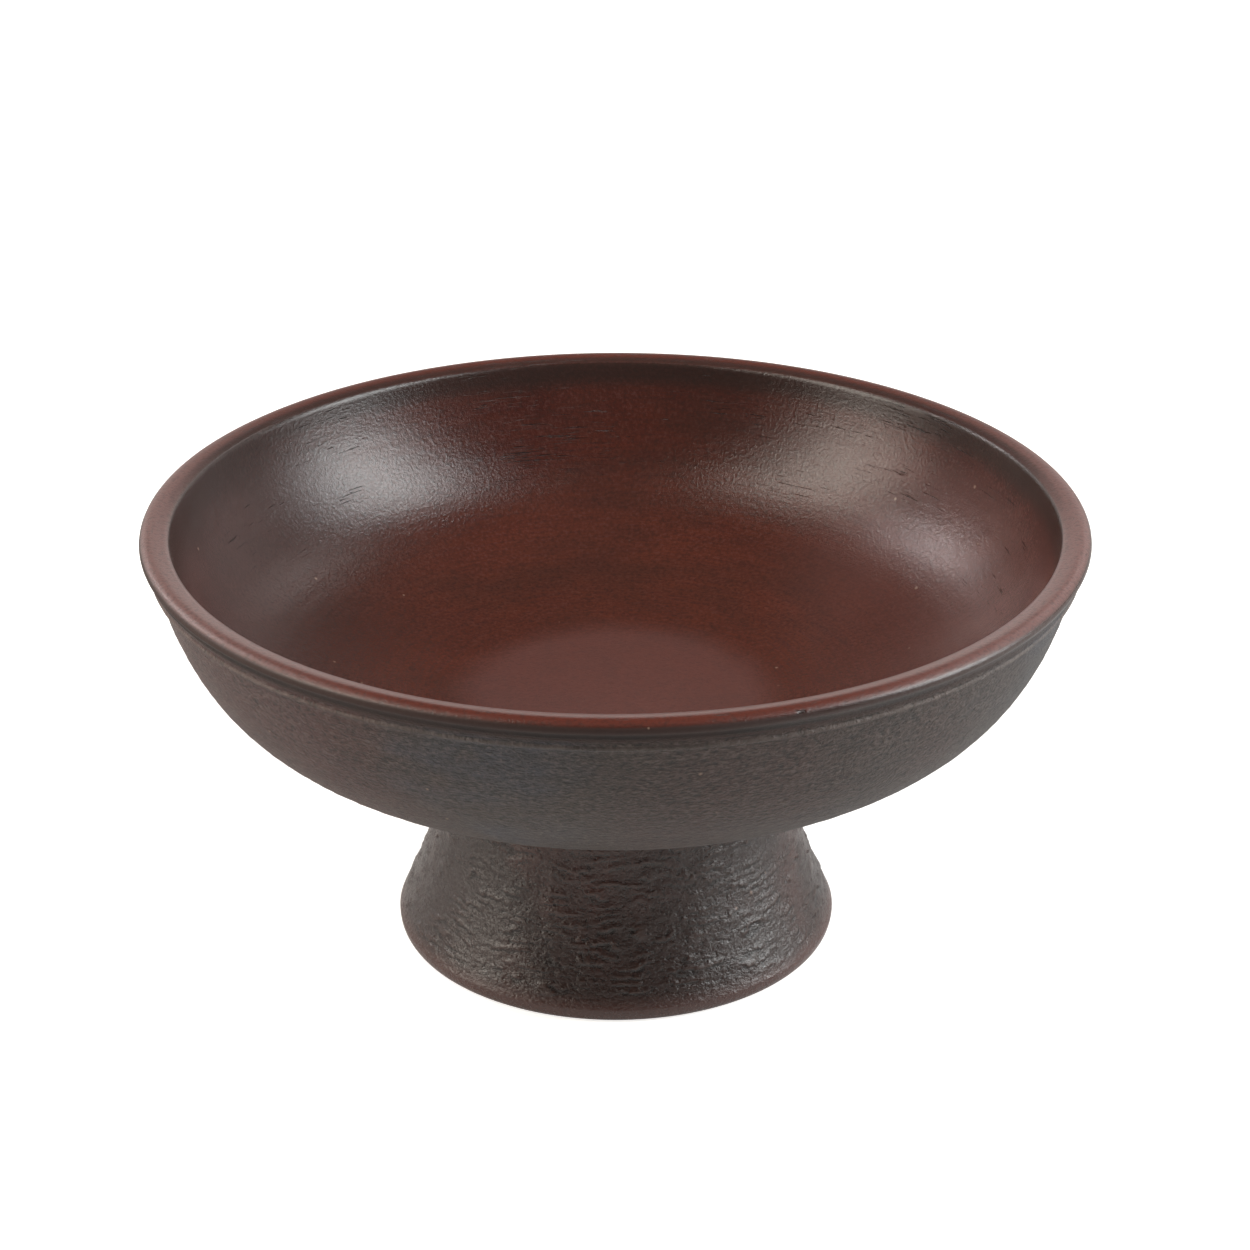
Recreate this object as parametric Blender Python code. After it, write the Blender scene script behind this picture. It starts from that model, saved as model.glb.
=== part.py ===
"""A footed fruit bowl of hand-thrown red clay, in metres, +Z up, standing on the origin.

The potter throws it as two pieces: the bowl with its rolled lip, and a flared hollow foot.
The joining faces are scored and stuck with luting slip, and a soft coil of clay is pressed
into the corner inside the foot. Each of the four is turned about the Z axis from its own
section: points (radius, height) that run up its inner side, over, and down its outer side.
"""

import math

import bpy
from mathutils import Vector
from mathutils.geometry import interpolate_bezier

# Overall sizes
RIM_RADIUS = 0.1350  # over the lip
HEIGHT = 0.1303  # table to the top of the lip
FOOT_HEIGHT = 0.0585  # table to the foot's scored top face
BASE_RADIUS = 0.0651  # the foot at its widest
NECK_RADIUS = 0.0500  # the foot's scored top face

# The rolled lip, and the hollow band and the ridge under it
LIP_THICKNESS = 0.0030
LIP_OUTWARD = 0.0007  # how far the lip hangs over the band
LIP_INWARD = 0.0008  # how far the lip hangs over the inside wall
BAND_HEIGHT = 0.0042
BAND_TAPER = 0.0020  # how much the band draws in toward the ridge
BAND_HOLLOW = 0.0005
RIDGE_HEIGHT = 0.0018
RIDGE_STEP = 0.0011  # how far the ridge stands out from the wall below it

# Walls
WALL_AT_RIM = 0.0038
WALL_AT_BELLY = 0.0070
FLOOR_THICKNESS = 0.0128
FLOOR_RADIUS = 0.0460  # the flat floor inside the bowl
FOOT_WALL = 0.0075
FOOT_EDGE_HEIGHT = 0.0042  # the rounding of the foot's outer edge
FOOT_EDGE_WIDTH = 0.0026
FOOT_CHAMFER = 0.0010  # inside the ring it stands on

# The joint
CLEARANCE = 0.0003  # between pieces that touch
SLIP_THICKNESS = 0.0010
SLIP_BEAD = 0.0006  # how far the slip is squeezed out around the neck
PAD_MARGIN = 0.0010  # how much wider the bowl's flat joining face is than the slip
COIL_LEG = 0.0085  # how far the coil spreads along each side of its corner
COIL_HOLLOW = 0.40  # how deep it is pressed in, as a share of the leg

# Where the handles of the curves lie, as shares of a curve's own width and height
BELLY_LOW_HANDLE = (0.56, 0.19)  # out from the joining face, and up
BELLY_HIGH_HANDLE = (0.14, 0.25)  # in from the wall under the ridge, and up
FLARE_LOW_HANDLE = (0.42, 0.30)  # in from the foot's widest, and up
FLARE_HIGH_HANDLE = 0.64  # up, in line with the neck

# How finely the surfaces are divided
STEPS_AROUND = 72
STEPS_ALONG_BOWL = 15
STEPS_ALONG_FOOT = 10
STEPS_OVER_LIP = 5
STEPS_ROUND = 4

SLIP_BOTTOM = FOOT_HEIGHT + CLEARANCE
SLIP_TOP = SLIP_BOTTOM + SLIP_THICKNESS
BOWL_BOTTOM = SLIP_TOP + CLEARANCE
BORE_RADIUS = NECK_RADIUS - FOOT_WALL


def clear_scene():
    for old in list(bpy.data.objects):
        bpy.data.objects.remove(old, do_unlink=True)


def curve(start, leaving, arriving, end, steps):
    """Points (radius, height) along a Bezier curve from start to end."""
    knots = [Vector((r, 0.0, z)) for r, z in (start, leaving, arriving, end)]
    return [(p.x, p.z) for p in interpolate_bezier(*knots, steps + 1)]


def arc(centre, radius, height, start, end, steps):
    """Points along an elliptical arc between two angles in degrees: 0 is outward, 90 is up."""
    angles = [math.radians(start + (end - start) * i / steps) for i in range(steps + 1)]
    return [(centre[0] + radius * math.cos(a), centre[1] + height * math.sin(a)) for a in angles]


def clay(name, colour, roughness):
    material = bpy.data.materials.new(name)
    material.use_nodes = True
    shader = material.node_tree.nodes["Principled BSDF"]
    shader.inputs["Base Color"].default_value = (*colour, 1.0)
    shader.inputs["Roughness"].default_value = roughness
    shader.inputs["Metallic"].default_value = 0.0
    return material


def turned(name, section, is_ring, material):
    """Turn a section once about the Z axis. A ring's section closes on itself; any other
    section starts and ends on the axis."""
    mesh = bpy.data.meshes.new(name)
    points = [(r, 0.0, z) for r, z in section]
    edges = [(i, i + 1) for i in range(len(points) - 1)]
    if is_ring:
        edges.append((len(points) - 1, 0))
    mesh.from_pydata(points, edges, [])
    mesh.materials.append(material)
    piece = bpy.data.objects.new(name, mesh)
    bpy.context.scene.collection.objects.link(piece)
    lathe = piece.modifiers.new("lathe", "SCREW")
    lathe.axis = "Z"
    lathe.angle = math.tau
    lathe.screw_offset = 0.0
    lathe.steps = STEPS_AROUND
    lathe.render_steps = STEPS_AROUND
    lathe.use_merge_vertices = True
    lathe.merge_threshold = 0.00002
    lathe.use_smooth_shade = True
    return piece


def bowl_section():
    """Floor, inside wall, lip, hollow band, ridge, belly and the flat joining face."""
    floor = BOWL_BOTTOM + FLOOR_THICKNESS
    band_top = HEIGHT - LIP_THICKNESS
    band_bottom = band_top - BAND_HEIGHT
    wall_top = band_bottom - RIDGE_HEIGHT
    band_top_radius = RIM_RADIUS - LIP_OUTWARD
    ridge_radius = band_top_radius - BAND_TAPER
    wall_radius = ridge_radius - RIDGE_STEP
    mouth_radius = wall_radius - WALL_AT_RIM
    lip_inner_radius = mouth_radius - LIP_INWARD
    pad_radius = NECK_RADIUS + SLIP_BEAD + PAD_MARGIN

    # The belly leaves the joining face almost flat and turns up sharply toward the rim.
    reach = wall_radius - pad_radius
    rise = wall_top - BOWL_BOTTOM
    belly_low = (pad_radius + BELLY_LOW_HANDLE[0] * reach, BOWL_BOTTOM + BELLY_LOW_HANDLE[1] * rise)
    belly_high = (wall_radius - BELLY_HIGH_HANDLE[0] * reach, BOWL_BOTTOM + BELLY_HIGH_HANDLE[1] * rise)
    pad = (pad_radius, BOWL_BOTTOM)
    belly = curve((wall_radius, wall_top), belly_high, belly_low, pad, STEPS_ALONG_BOWL)

    # The inside runs level off the floor, then follows the belly at the wall's thickness.
    inside_low = (belly_low[0] - WALL_AT_BELLY, max(belly_low[1] + WALL_AT_BELLY, floor))
    inside_high = (belly_high[0] - WALL_AT_RIM, belly_high[1] + WALL_AT_BELLY)
    mouth = (mouth_radius, band_bottom)
    inside = curve((FLOOR_RADIUS, floor), inside_low, inside_high, mouth, STEPS_ALONG_BOWL)

    lip_round = LIP_THICKNESS / 2
    lip_middle = HEIGHT - lip_round
    lip = arc((lip_inner_radius + lip_round, lip_middle), lip_round, lip_round, 240, 90, STEPS_OVER_LIP)
    lip += arc((RIM_RADIUS - lip_round, lip_middle), lip_round, lip_round, 90, -60, STEPS_OVER_LIP)
    hollow_radius = (band_top_radius + ridge_radius) / 2 - 2 * BAND_HOLLOW
    hollow = (hollow_radius, (band_top + band_bottom) / 2)
    band = curve((band_top_radius, band_top), hollow, hollow, (ridge_radius, band_bottom), STEPS_ROUND)
    ridge_foot = (ridge_radius, band_bottom - RIDGE_HEIGHT / 2)
    return [(0.0, floor), *inside, *lip, *band, ridge_foot, *belly, (0.0, BOWL_BOTTOM)]


def foot_section():
    """The hollow foot, from the ring it stands on up its bore and down its flared outside."""
    outside_bottom = (BASE_RADIUS, FOOT_EDGE_HEIGHT)
    ring_radius = BASE_RADIUS - FOOT_EDGE_WIDTH
    bore_bottom = BASE_RADIUS - FOOT_WALL - FOOT_CHAMFER
    flare = BASE_RADIUS - NECK_RADIUS
    low = (BASE_RADIUS - FLARE_LOW_HANDLE[0] * flare, FLARE_LOW_HANDLE[1] * FOOT_HEIGHT)
    high = (NECK_RADIUS, FLARE_HIGH_HANDLE * FOOT_HEIGHT)
    outside = curve((NECK_RADIUS, FOOT_HEIGHT), high, low, outside_bottom, STEPS_ALONG_FOOT)
    bore_low = (low[0] - FOOT_WALL - FOOT_CHAMFER, low[1])
    bore_high = (BORE_RADIUS, high[1])
    bore_start = (bore_bottom, FOOT_CHAMFER)
    bore = curve(bore_start, bore_low, bore_high, (BORE_RADIUS, FOOT_HEIGHT), STEPS_ALONG_FOOT)
    edge_centre = (ring_radius, FOOT_EDGE_HEIGHT)
    edge = arc(edge_centre, FOOT_EDGE_WIDTH, FOOT_EDGE_HEIGHT, 0, -90, STEPS_ROUND)
    return [(bore_bottom + FOOT_CHAMFER, 0.0), *bore, *outside, *edge[1:]]


def slip_section():
    """The layer of luting slip, with the bead that squeezes out around the neck."""
    half = SLIP_THICKNESS / 2
    bead = arc((NECK_RADIUS, SLIP_BOTTOM + half), SLIP_BEAD, half, 90, -90, STEPS_ROUND)
    return [(BORE_RADIUS, SLIP_BOTTOM), (BORE_RADIUS, SLIP_TOP), *bead]


def coil_section():
    """The coil in the corner under the bowl, hollowed by the finger that pressed it in."""
    corner = (BORE_RADIUS - CLEARANCE, BOWL_BOTTOM - CLEARANCE)
    inner = (corner[0] - COIL_LEG, corner[1])
    lower = (corner[0], corner[1] - COIL_LEG)
    depth = COIL_HOLLOW * COIL_LEG
    hollow = (corner[0] - depth, corner[1] - depth)
    return [corner, *curve(lower, hollow, hollow, inner, 2 * STEPS_ROUND)]


clear_scene()
fired_clay = clay("smoked_red_clay", (0.072, 0.052, 0.046), 0.42)
coarse_clay = clay("coarse_smoked_clay", (0.060, 0.047, 0.042), 0.55)
slip_clay = clay("luting_slip", (0.085, 0.050, 0.038), 0.70)
coil_clay = clay("pressed_clay_coil", (0.105, 0.056, 0.040), 0.75)

turned("bowl", bowl_section(), False, fired_clay)
turned("foot", foot_section(), True, coarse_clay)
turned("joint_slip", slip_section(), True, slip_clay)
turned("joint_coil", coil_section(), True, coil_clay)
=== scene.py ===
# %% [markdown]
# # A footed bowl of smoked red clay
#
# A potter throws this piece as two forms, a wide bowl and a hollow flared foot, and joins them with
# slip and a coil of soft clay. The engineering model already fixes where everything is. This lesson
# loads it as a frame, and then makes the surfaces a hand would feel: the rolled lip, the throwing
# lines, the torn skin of the foot and the smoke in the clay.

import math

import bpy
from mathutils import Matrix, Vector
from mathutils.geometry import interpolate_bezier


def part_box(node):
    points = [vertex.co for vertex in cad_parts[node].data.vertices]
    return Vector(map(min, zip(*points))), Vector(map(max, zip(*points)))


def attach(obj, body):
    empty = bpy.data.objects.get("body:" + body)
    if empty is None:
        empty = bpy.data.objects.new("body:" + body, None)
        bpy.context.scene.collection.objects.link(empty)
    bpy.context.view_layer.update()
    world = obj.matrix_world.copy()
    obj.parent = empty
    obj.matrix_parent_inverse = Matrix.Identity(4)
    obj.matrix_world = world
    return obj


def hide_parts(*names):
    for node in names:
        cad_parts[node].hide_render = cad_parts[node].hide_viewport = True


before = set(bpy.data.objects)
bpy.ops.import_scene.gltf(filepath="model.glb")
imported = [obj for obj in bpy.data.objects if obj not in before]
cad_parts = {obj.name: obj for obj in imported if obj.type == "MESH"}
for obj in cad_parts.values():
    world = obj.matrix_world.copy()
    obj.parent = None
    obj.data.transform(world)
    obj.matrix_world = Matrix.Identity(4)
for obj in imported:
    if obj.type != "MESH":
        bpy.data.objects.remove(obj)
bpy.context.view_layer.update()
print("nodes in the frame:", sorted(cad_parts))

# %% [markdown]
# ## Sizes
#
# Everything is measured from the frame, in metres. One millimetre gets a short name, because clay
# details are a few millimetres wide and read better that way. Most marks of the bowl are near its
# lip, so two small functions give a place there as millimetres under the top or in from the rim.

# %% Measure the frame
MM = 0.001

bowl_low, bowl_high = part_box("bowl")
_, foot_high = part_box("foot")
slip_low, slip_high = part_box("joint_slip")
coil_low, coil_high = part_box("joint_coil")

RIM = bowl_high.x
TOP = bowl_high.z
BOWL_BOTTOM = bowl_low.z
FOOT_TOP = foot_high.z
BASE = foot_high.x
SLIP_BEAD = 0.6 * MM
NECK = slip_high.x - SLIP_BEAD
COIL_GAP = 0.3 * MM
BORE = coil_high.x + COIL_GAP
LIP_WIDTH = 8.4 * MM
LIP_INNER = RIM - LIP_WIDTH


def below_top(millimetres):
    """A height, given in millimetres under the top of the lip."""
    return TOP - millimetres * MM


def in_from_rim(millimetres):
    """A radius, given in millimetres in from the outer edge of the lip."""
    return RIM - millimetres * MM


print(f"rim radius {RIM / MM:.1f} mm, height {TOP / MM:.1f} mm, neck {NECK / MM:.1f} mm")

# %% [markdown]
# ## The studio
#
# The camera looks down from in front with a long lens, high enough to see the floor of the bowl and
# low enough to see the foot. A constraint could keep it aimed at the bowl. A fixed place and tilt are
# simpler to read and are the same on every run.

# %% Camera
CAMERA_PLACE = (0.0027, -0.8426, 0.4855)
CAMERA_TILT_DEG = 65.12
LENS_MM = 92.16
SENSOR_MM = 36.0


def place_camera():
    data = bpy.data.cameras.new("studio camera")
    data.sensor_width = SENSOR_MM
    data.lens = LENS_MM
    data.clip_start = 0.01
    data.clip_end = 50.0
    camera = bpy.data.objects.new("studio_camera", data)
    bpy.context.scene.collection.objects.link(camera)
    camera.location = CAMERA_PLACE
    camera.rotation_euler = (math.radians(CAMERA_TILT_DEG), 0.0, 0.0)
    bpy.context.scene.camera = camera
    return camera


bpy.context.scene.view_settings.view_transform = "Standard"
camera = place_camera()
print("camera at", [round(c, 3) for c in camera.location])

# %% [markdown]
# ## Lamps
#
# Two soft lamps stand on each side and nothing hangs overhead, so the inside of the bowl stays dark
# and shows each lamp as one soft patch. The front lamp on each side is tall and does most of the
# work, and the back one is small and weak. A ring of light would be easier, but then the gloss would
# have no shape. Area lights give the patches their size and soft edges. Each is placed by its
# direction: so many degrees round from the camera, and so many degrees up.

# %% Lamps
AIM = Vector((0.0, 0.0, 0.085))


def soft_lamp(name, round_deg, up_deg, distance, size, watts, colour):
    """An area light looking at the bowl, round_deg to the right of the camera and up_deg up."""
    bearing = math.radians(round_deg)
    rise = math.radians(up_deg)
    data = bpy.data.lights.new(name, "AREA")
    data.shape = "RECTANGLE"
    data.size, data.size_y = size
    data.energy = watts
    data.color = colour
    lamp = bpy.data.objects.new(name, data)
    bpy.context.scene.collection.objects.link(lamp)
    level = math.cos(rise)
    away = Vector((level * math.sin(bearing), -level * math.cos(bearing), math.sin(rise)))
    lamp.location = AIM + distance * away
    lamp.rotation_euler = away.to_track_quat("Z", "Y").to_euler()
    return lamp


soft_lamp("lamp_right_front", 83, 31, 1.3, (0.42, 1.14), 21.0, (0.97, 1.0, 1.0))
soft_lamp("lamp_right_back", 139, 36, 1.4, (0.30, 0.40), 1.2, (1.0, 0.93, 0.90))
soft_lamp("lamp_left_front", -76, 33, 1.3, (0.40, 1.40), 15.5, (1.0, 0.93, 0.83))
soft_lamp("lamp_left_back", -125, 31, 1.4, (0.13, 0.42), 4.6, (1.0, 0.95, 0.95))

# %% [markdown]
# ## Small tools for nodes
#
# Shaders, the world and the relief modifiers are all trees of nodes. A few small helpers keep the
# rest of the lesson short: they add a node, feed a socket, do sums, ramp a value and mix colours.
# An input can be given either a number or another node's output.

# %% Node helpers
def feed(tree, socket, value):
    if isinstance(value, bpy.types.NodeSocket):
        tree.links.new(value, socket)
    elif value is not None:
        socket.default_value = value


def add(tree, kind, inputs=None, **settings):
    """Add a node, change its settings, and feed its inputs by name or number."""
    node = tree.nodes.new(kind)
    for setting, value in settings.items():
        setattr(node, setting, value)
    for key, value in (inputs or {}).items():
        feed(tree, node.inputs[key], value)
    return node


def sum_of(tree, operation, first, second=None, third=None):
    """One Math node: MULTIPLY, ADD, POWER and so on."""
    node = add(tree, "ShaderNodeMath", {0: first, 1: second, 2: third}, operation=operation)
    return node.outputs[0]


def product(tree, *values):
    total = values[0]
    for value in values[1:]:
        total = sum_of(tree, "MULTIPLY", total, value)
    return total


def add_up(tree, *values):
    total = values[0]
    for value in values[1:]:
        total = sum_of(tree, "ADD", total, value)
    return total


def between(tree, value, low, high, to_low=0.0, to_high=1.0):
    """Ramp a value smoothly from to_low at low to to_high at high."""
    inputs = {"Value": value, "From Min": low, "From Max": high, "To Min": to_low, "To Max": to_high}
    node = add(tree, "ShaderNodeMapRange", inputs, interpolation_type="SMOOTHSTEP")
    return node.outputs["Result"]


def blend(tree, amount, first, second):
    """Mix two colours. Of the Mix node's sockets, 0 is the amount, 6 and 7 are A and B as colours."""
    node = add(tree, "ShaderNodeMix", {0: amount, 6: first, 7: second}, data_type="RGBA")
    return node.outputs[2]


def coats(tree, colour, *layers):
    """Lay more colours over a colour, one after another; each layer is (amount, colour)."""
    for amount, over in layers:
        colour = blend(tree, amount, colour, over)
    return colour


def paint(red, green, blue):
    """A colour given as 0 to 255 values of a paint chart, as the linear values that shaders use."""
    parts = [c / 255 for c in (red, green, blue)]
    linear = [c / 12.92 if c <= 0.04045 else ((c + 0.055) / 1.055) ** 2.4 for c in parts]
    return (*linear, 1.0)


print("node helpers are ready")

# %% [markdown]
# ## White sweep
#
# The floor is plain white paper. It sends light up under the bowl, as paper does, and it glows a
# little, so that it stays white behind the bowl and only the contact with the foot is shaded. The
# world is white paper too, behind the bowl and low down, and dim overhead and behind the camera.
# What the camera sees of it directly is plain white all round.

# %% Floor and world
PAPER = (0.62, 0.61, 0.60, 1.0)
PALER_PAPER = (0.66, 0.65, 0.64, 1.0)
PAPER_GLOW = 0.22
PAPER_GLOW_SEEN = 0.80
FLOOR_SIZE = 8.0


def make_paper():
    paper = bpy.data.materials.new("white_paper")
    paper.use_nodes = True
    tree = paper.node_tree
    shader = tree.nodes["Principled BSDF"]
    coords = add(tree, "ShaderNodeTexCoord").outputs["Object"]
    fibre = add(tree, "ShaderNodeTexNoise", {"Vector": coords, "Scale": 260.0, "Detail": 4.0}).outputs[0]
    seen = add(tree, "ShaderNodeLightPath").outputs["Is Camera Ray"]
    feed(tree, shader.inputs["Base Color"], blend(tree, fibre, PAPER, PALER_PAPER))
    shader.inputs["Roughness"].default_value = 0.9
    shader.inputs["Specular IOR Level"].default_value = 0.1
    shader.inputs["Emission Color"].default_value = (1.0, 0.985, 0.965, 1.0)
    glow = between(tree, seen, 0.0, 1.0, PAPER_GLOW, PAPER_GLOW_SEEN)
    feed(tree, shader.inputs["Emission Strength"], glow)
    return paper


def make_world():
    world = bpy.data.worlds.new("white_room")
    bpy.context.scene.world = world
    world.use_nodes = True
    tree = world.node_tree
    tree.nodes.clear()
    direction = add(tree, "ShaderNodeTexCoord").outputs["Generated"]
    parts = add(tree, "ShaderNodeSeparateXYZ", {0: direction}).outputs
    low_down = between(tree, parts["Z"], 0.08, 0.56, 1.0, 0.0)
    behind = between(tree, parts["Y"], -0.2, 0.7, 0.12, 1.0)
    room = sum_of(tree, "MULTIPLY_ADD", product(tree, low_down, behind), 0.95, 0.05)
    seen = add(tree, "ShaderNodeLightPath").outputs["Is Camera Ray"]
    strength = sum_of(tree, "MAXIMUM", product(tree, seen, 1.15), room)
    sky = add(tree, "ShaderNodeBackground", {"Color": (1.0, 0.95, 0.91, 1.0), "Strength": strength})
    out = add(tree, "ShaderNodeOutputWorld")
    tree.links.new(sky.outputs[0], out.inputs["Surface"])


def make_floor():
    bpy.ops.mesh.primitive_plane_add(size=FLOOR_SIZE, location=(0.0, 0.0, 0.0))
    floor = bpy.context.object
    floor.name = "paper_floor"
    floor.data.materials.append(make_paper())
    return floor


make_world()
floor = make_floor()
print("floor", floor.name, "and world are ready")

# %% [markdown]
# ## Turning on the wheel
#
# A thrown pot is its section turned about one axis. So each piece here starts as a single point,
# which is drawn out along the section, vertex by vertex, and then spun once round. A curve with a
# Screw modifier could do it too. The spin is the nearest thing to the wheel, and leaves plain quads.
# The section is made of curves and arcs, each with only as many steps as its shape and relief need.

# %% Section tools
def curve(start, leaving, arriving, end, steps):
    """Points (radius, height) of a Bezier curve, without its first point."""
    knots = [Vector((r, 0.0, z)) for r, z in (start, leaving, arriving, end)]
    return [(p.x, p.z) for p in interpolate_bezier(*knots, steps + 1)][1:]


def arc(centre, radius, start_deg, end_deg, steps):
    """Points of an arc, without its first point; 0 degrees is outward and 90 is up."""
    points = []
    for step in range(1, steps + 1):
        angle = math.radians(start_deg + (end_deg - start_deg) * step / steps)
        points.append((centre[0] + radius * math.cos(angle), centre[1] + radius * math.sin(angle)))
    return points


def line(start, end, steps):
    """Points of a straight stretch, without its first point."""
    share = [step / steps for step in range(1, steps + 1)]
    return [(start[0] + (end[0] - start[0]) * s, start[1] + (end[1] - start[1]) * s) for s in share]


print("a quarter of a circle in three steps:", arc((0.0, 0.0), 1.0, 0, 90, 3))

# %% The wheel
TOUCHING = 0.01 * MM


def turn(name, section, steps_round, closed=False):
    """Draw the section out from one vertex, spin it about Z, and close it."""
    bpy.ops.object.select_all(action="DESELECT")
    bpy.ops.mesh.primitive_plane_add(size=0.1 * MM, location=(0.0, 0.0, 0.0))
    piece = bpy.context.object
    piece.name = name
    piece.data.name = name
    bpy.ops.object.mode_set(mode="EDIT")
    bpy.ops.mesh.select_all(action="SELECT")
    bpy.ops.mesh.merge(type="CENTER")
    here = section[0]
    bpy.ops.transform.translate(value=(here[0], 0.0, here[1]))
    for point in section[1:]:
        move = (point[0] - here[0], 0.0, point[1] - here[1])
        bpy.ops.mesh.extrude_vertices_move(TRANSFORM_OT_translate={"value": move})
        here = point
    bpy.ops.mesh.select_all(action="SELECT")
    if closed:
        bpy.ops.mesh.remove_doubles(threshold=TOUCHING)
    bpy.ops.mesh.spin(steps=steps_round, angle=math.tau, center=(0.0, 0.0, 0.0), axis=(0.0, 0.0, 1.0))
    bpy.ops.mesh.select_all(action="SELECT")
    bpy.ops.mesh.remove_doubles(threshold=TOUCHING)
    bpy.ops.mesh.select_all(action="SELECT")
    bpy.ops.mesh.normals_make_consistent(inside=False)
    bpy.ops.object.mode_set(mode="OBJECT")
    bpy.ops.object.shade_smooth()
    print(f"{name}: {len(piece.data.polygons)} faces")
    return piece


print("points closer than", TOUCHING / MM, "mm are joined")

# %% [markdown]
# ## The bowl
#
# The potter opens the clay to a flat floor, pulls the wall out and up, and flattens the lip with a
# wet finger, which rounds its inner edge and leaves the top sloping gently in. Outside, a wooden rib
# cuts a groove, a shallow hollow band and a thin ridge. A plain cup with a Bevel and a Subdivision
# Surface could stand for the bowl, but those mouldings are half a millimetre to four millimetres
# wide and would melt away. So each gets its own arc or curve in the section.

# %% Bowl section
FLOOR_RADIUS = 46.0 * MM
FLOOR_HEIGHT = BOWL_BOTTOM + 12.8 * MM
BOWL_STEPS_ROUND = 360


def bowl_inside():
    """The flat floor, and the wall up to the rounding of the lip's inner edge."""
    floor_edge = (FLOOR_RADIUS, FLOOR_HEIGHT)
    wall_top = (LIP_INNER - 0.35 * MM, below_top(2.6))
    low = (89.0 * MM, FLOOR_HEIGHT + 5.6 * MM)
    high = (116.6 * MM, FLOOR_HEIGHT + 10.5 * MM)
    points = [(0.0, FLOOR_HEIGHT)]
    points += line(points[-1], floor_edge, 22)
    points += curve(floor_edge, low, high, wall_top, 84)
    return points


def bowl_lip(start):
    """The rolled lip: a round inner edge, a gentle rise to the crown, and a rounded outer edge."""
    shoulder = (LIP_INNER + 2.0 * MM, below_top(0.55))
    crown = (LIP_INNER + 5.2 * MM, TOP)
    outer_edge = (RIM, below_top(2.3))
    under = (in_from_rim(0.75), below_top(3.6))

    leaving = (start[0] + 0.27 * MM, start[1] + 1.27 * MM)
    arriving = (LIP_INNER + 0.75 * MM, below_top(0.82))
    points = curve(start, leaving, arriving, shoulder, 11)
    leaving = (LIP_INNER + 3.2 * MM, below_top(0.24))
    arriving = (LIP_INNER + 4.3 * MM, TOP)
    points += curve(shoulder, leaving, arriving, crown, 7)
    points += curve(crown, (LIP_INNER + 6.6 * MM, TOP), (RIM, below_top(1.0)), outer_edge, 9)
    points += curve(outer_edge, (RIM, below_top(2.8)), (in_from_rim(0.35), below_top(3.2)), under, 6)
    return points


def bowl_mouldings(start):
    """Groove, hollow band and ridge, down to the top of the belly."""
    groove = (in_from_rim(1.1), below_top(4.2))
    band_top = (in_from_rim(1.2), below_top(4.9))
    band_end = (in_from_rim(2.5), below_top(7.6))
    ridge_middle = (in_from_rim(3.1), below_top(8.3))
    ridge_radius = 0.85 * MM

    points = curve(start, (start[0] - 0.2 * MM, start[1] - 0.25 * MM), groove, groove, 3)
    points += curve(groove, groove, (band_top[0], band_top[1] + 0.3 * MM), band_top, 3)
    hollow = (band_top[0] - 1.2 * MM, band_top[1] - 1.3 * MM)
    points += curve(band_top, hollow, (hollow[0], hollow[1] - 0.8 * MM), band_end, 10)
    points += arc(ridge_middle, ridge_radius, 48, -60, 6)
    return points


def bowl_belly(start):
    """The belly, turning in under the bowl to the flat joining face."""
    pad = (NECK + SLIP_BEAD + 1.0 * MM, BOWL_BOTTOM)
    reach = start[0] - pad[0]
    rise = start[1] - pad[1]
    low = (pad[0] + 0.56 * reach, pad[1] + 0.19 * rise)
    high = (start[0] - 0.14 * reach, pad[1] + 0.25 * rise)
    points = curve(start, high, low, pad, 96)
    points += line(pad, (0.0, BOWL_BOTTOM), 10)
    return points


section = bowl_inside()
section += bowl_lip(section[-1])
section += bowl_mouldings(section[-1])
section.append((in_from_rim(3.8), below_top(9.6)))
section += bowl_belly(section[-1])
bowl = turn("thrown_bowl", section, BOWL_STEPS_ROUND)

# %% [markdown]
# ## Relief
#
# Clay keeps every touch. A small tree of geometry nodes pushes each point along its normal by a
# height worked out from its place. A second value, the fine part of that height with cracks counted
# as deeper, is kept on the mesh as an attribute called relief, so that a material can be paler on the
# ridges and darker in the cracks. The modifier is applied, and what is left is plain mesh.
#
# Most marks run round the pot, because the pot was turning. So the noise is read in wheel
# coordinates: round the axis it changes slowly, and up the section it changes fast. A Displace
# modifier could push the points too, but it can't read its texture in coordinates like these.

# %% Relief tools
def wheel_coordinates(tree, place, around, across, lean=1.0):
    """A vector that turns with the pot: 'around' cells to the radian, 'across' cells to the metre.

    The metres are height plus radius times lean: 1 suits the bowl, which opens upward, and a
    negative lean suits the foot, which opens downward.
    """
    parts = add(tree, "ShaderNodeSeparateXYZ", {0: place}).outputs
    flat = add(tree, "ShaderNodeCombineXYZ", {0: parts[0], 1: parts[1]}).outputs[0]
    length = add(tree, "ShaderNodeVectorMath", {0: flat}, operation="LENGTH").outputs["Value"]
    radius = sum_of(tree, "MAXIMUM", length, 0.1 * MM)
    side_x = product(tree, sum_of(tree, "DIVIDE", parts[0], radius), around)
    side_y = product(tree, sum_of(tree, "DIVIDE", parts[1], radius), around)
    up = product(tree, sum_of(tree, "MULTIPLY_ADD", radius, lean, parts[2]), across)
    return add(tree, "ShaderNodeCombineXYZ", {0: side_x, 1: side_y, 2: up}).outputs[0]


def radius_and_height(tree, place):
    parts = add(tree, "ShaderNodeSeparateXYZ", {0: place}).outputs
    flat = add(tree, "ShaderNodeCombineXYZ", {0: parts[0], 1: parts[1]}).outputs[0]
    radius = add(tree, "ShaderNodeVectorMath", {0: flat}, operation="LENGTH").outputs["Value"]
    return radius, parts[2]


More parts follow.
